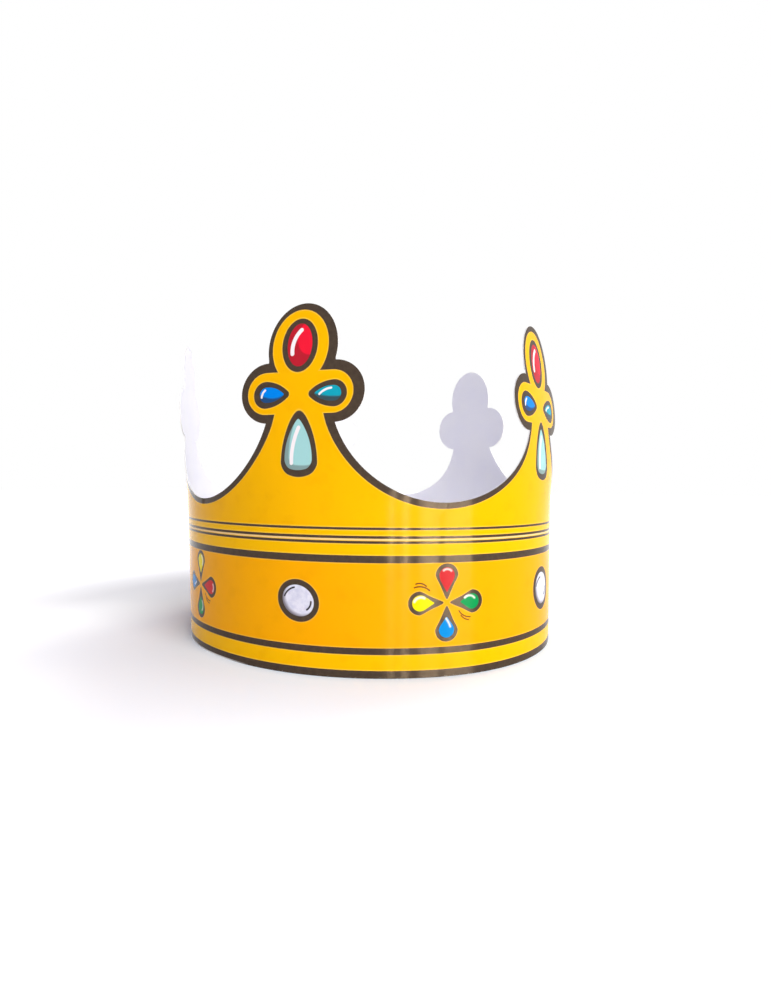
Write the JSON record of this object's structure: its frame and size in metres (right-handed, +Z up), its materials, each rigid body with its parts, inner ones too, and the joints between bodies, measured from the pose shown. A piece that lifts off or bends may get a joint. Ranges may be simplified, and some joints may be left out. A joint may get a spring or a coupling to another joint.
{
  "type": "paper crown",
  "caption": "Oval hoop of stiff printed card whose top edge is cut into trefoil spires with scooped valleys, glued at a lap, worn on the head.",
  "frame": {"origin": "middle of the oval hoop on the plane of its lower edge, which is the surface it stands on", "axes": "+Z up through the hoop, -Y towards the front spire, +Y towards the glued lap, the oval's long axis along Y"},
  "size_m": [0.1694, 0.1984, 0.146],
  "materials": {
    "printed_card": "gloss laminated print outside, plain white inside"
  },
  "bodies": {
    "root": {"crown_card": "printed_card"}
  },
  "joints": []
}
